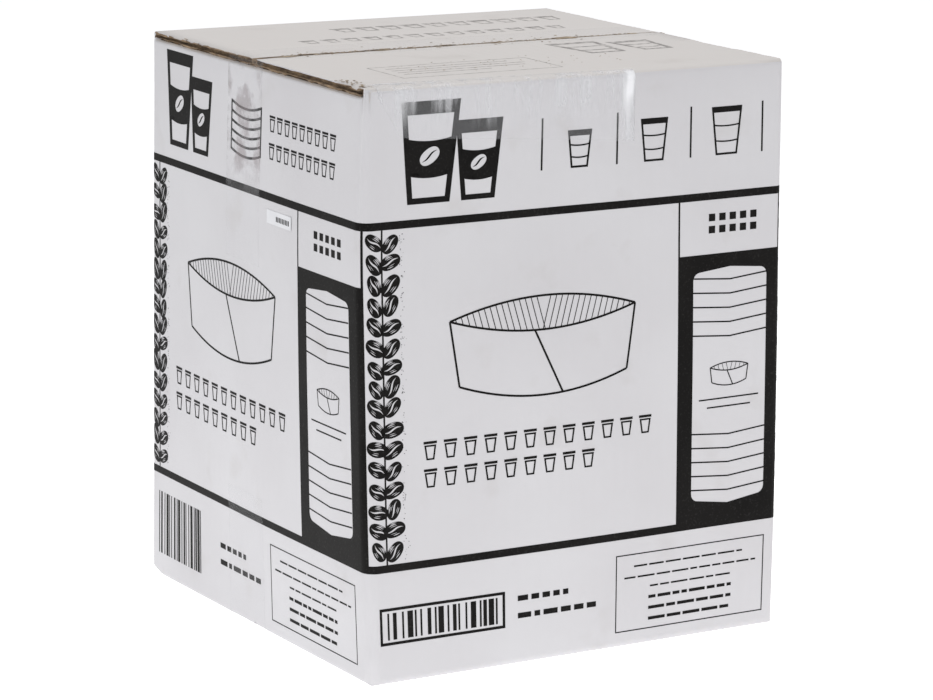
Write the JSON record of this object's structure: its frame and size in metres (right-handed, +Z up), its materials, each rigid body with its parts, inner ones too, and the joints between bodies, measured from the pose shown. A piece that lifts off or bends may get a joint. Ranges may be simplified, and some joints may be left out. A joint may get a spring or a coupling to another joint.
{
  "type": "shipping carton",
  "caption": "Sealed corrugated shipping carton for flat cup sleeves, with white printed panels, four closed top flaps and clear tape over the seams.",
  "frame": {"origin": "centre of the base, on the surface that the carton stands on", "axes": "+Z up, +X to the right along the front panel, +Y from the front panel to the back"},
  "size_m": [0.2936, 0.3004, 0.3623],
  "materials": {
    "white_board": "white-faced corrugated board with brown raw edges",
    "black_ink": "flexographic print, satin",
    "clear_tape": "clear film, glossy, wrinkled at its ends",
    "sticker_paper": "smooth white paper"
  },
  "bodies": {
    "root": {"carton": "white_board", "top_seam_tape": "clear_tape", "bottom_seam_tape": "clear_tape", "front_edge_tape": "clear_tape", "printed_frame": "black_ink", "cup_badge_front": "black_ink", "cup_badge_right": "black_ink", "cup_badge_back": "black_ink", "cup_badge_left": "black_ink", "sleeve_drawing_front": "black_ink", "sleeve_drawing_right": "black_ink", "sleeve_drawing_back": "black_ink", "sleeve_drawing_left": "black_ink", "bar_pattern_front": "black_ink", "bar_pattern_right": "black_ink", "bar_pattern_back": "black_ink", "bar_pattern_left": "black_ink", "note_frame_front": "black_ink", "note_frame_right": "black_ink", "note_frame_back": "black_ink", "note_frame_left": "black_ink", "sticker": "sticker_paper"}
  },
  "joints": []
}
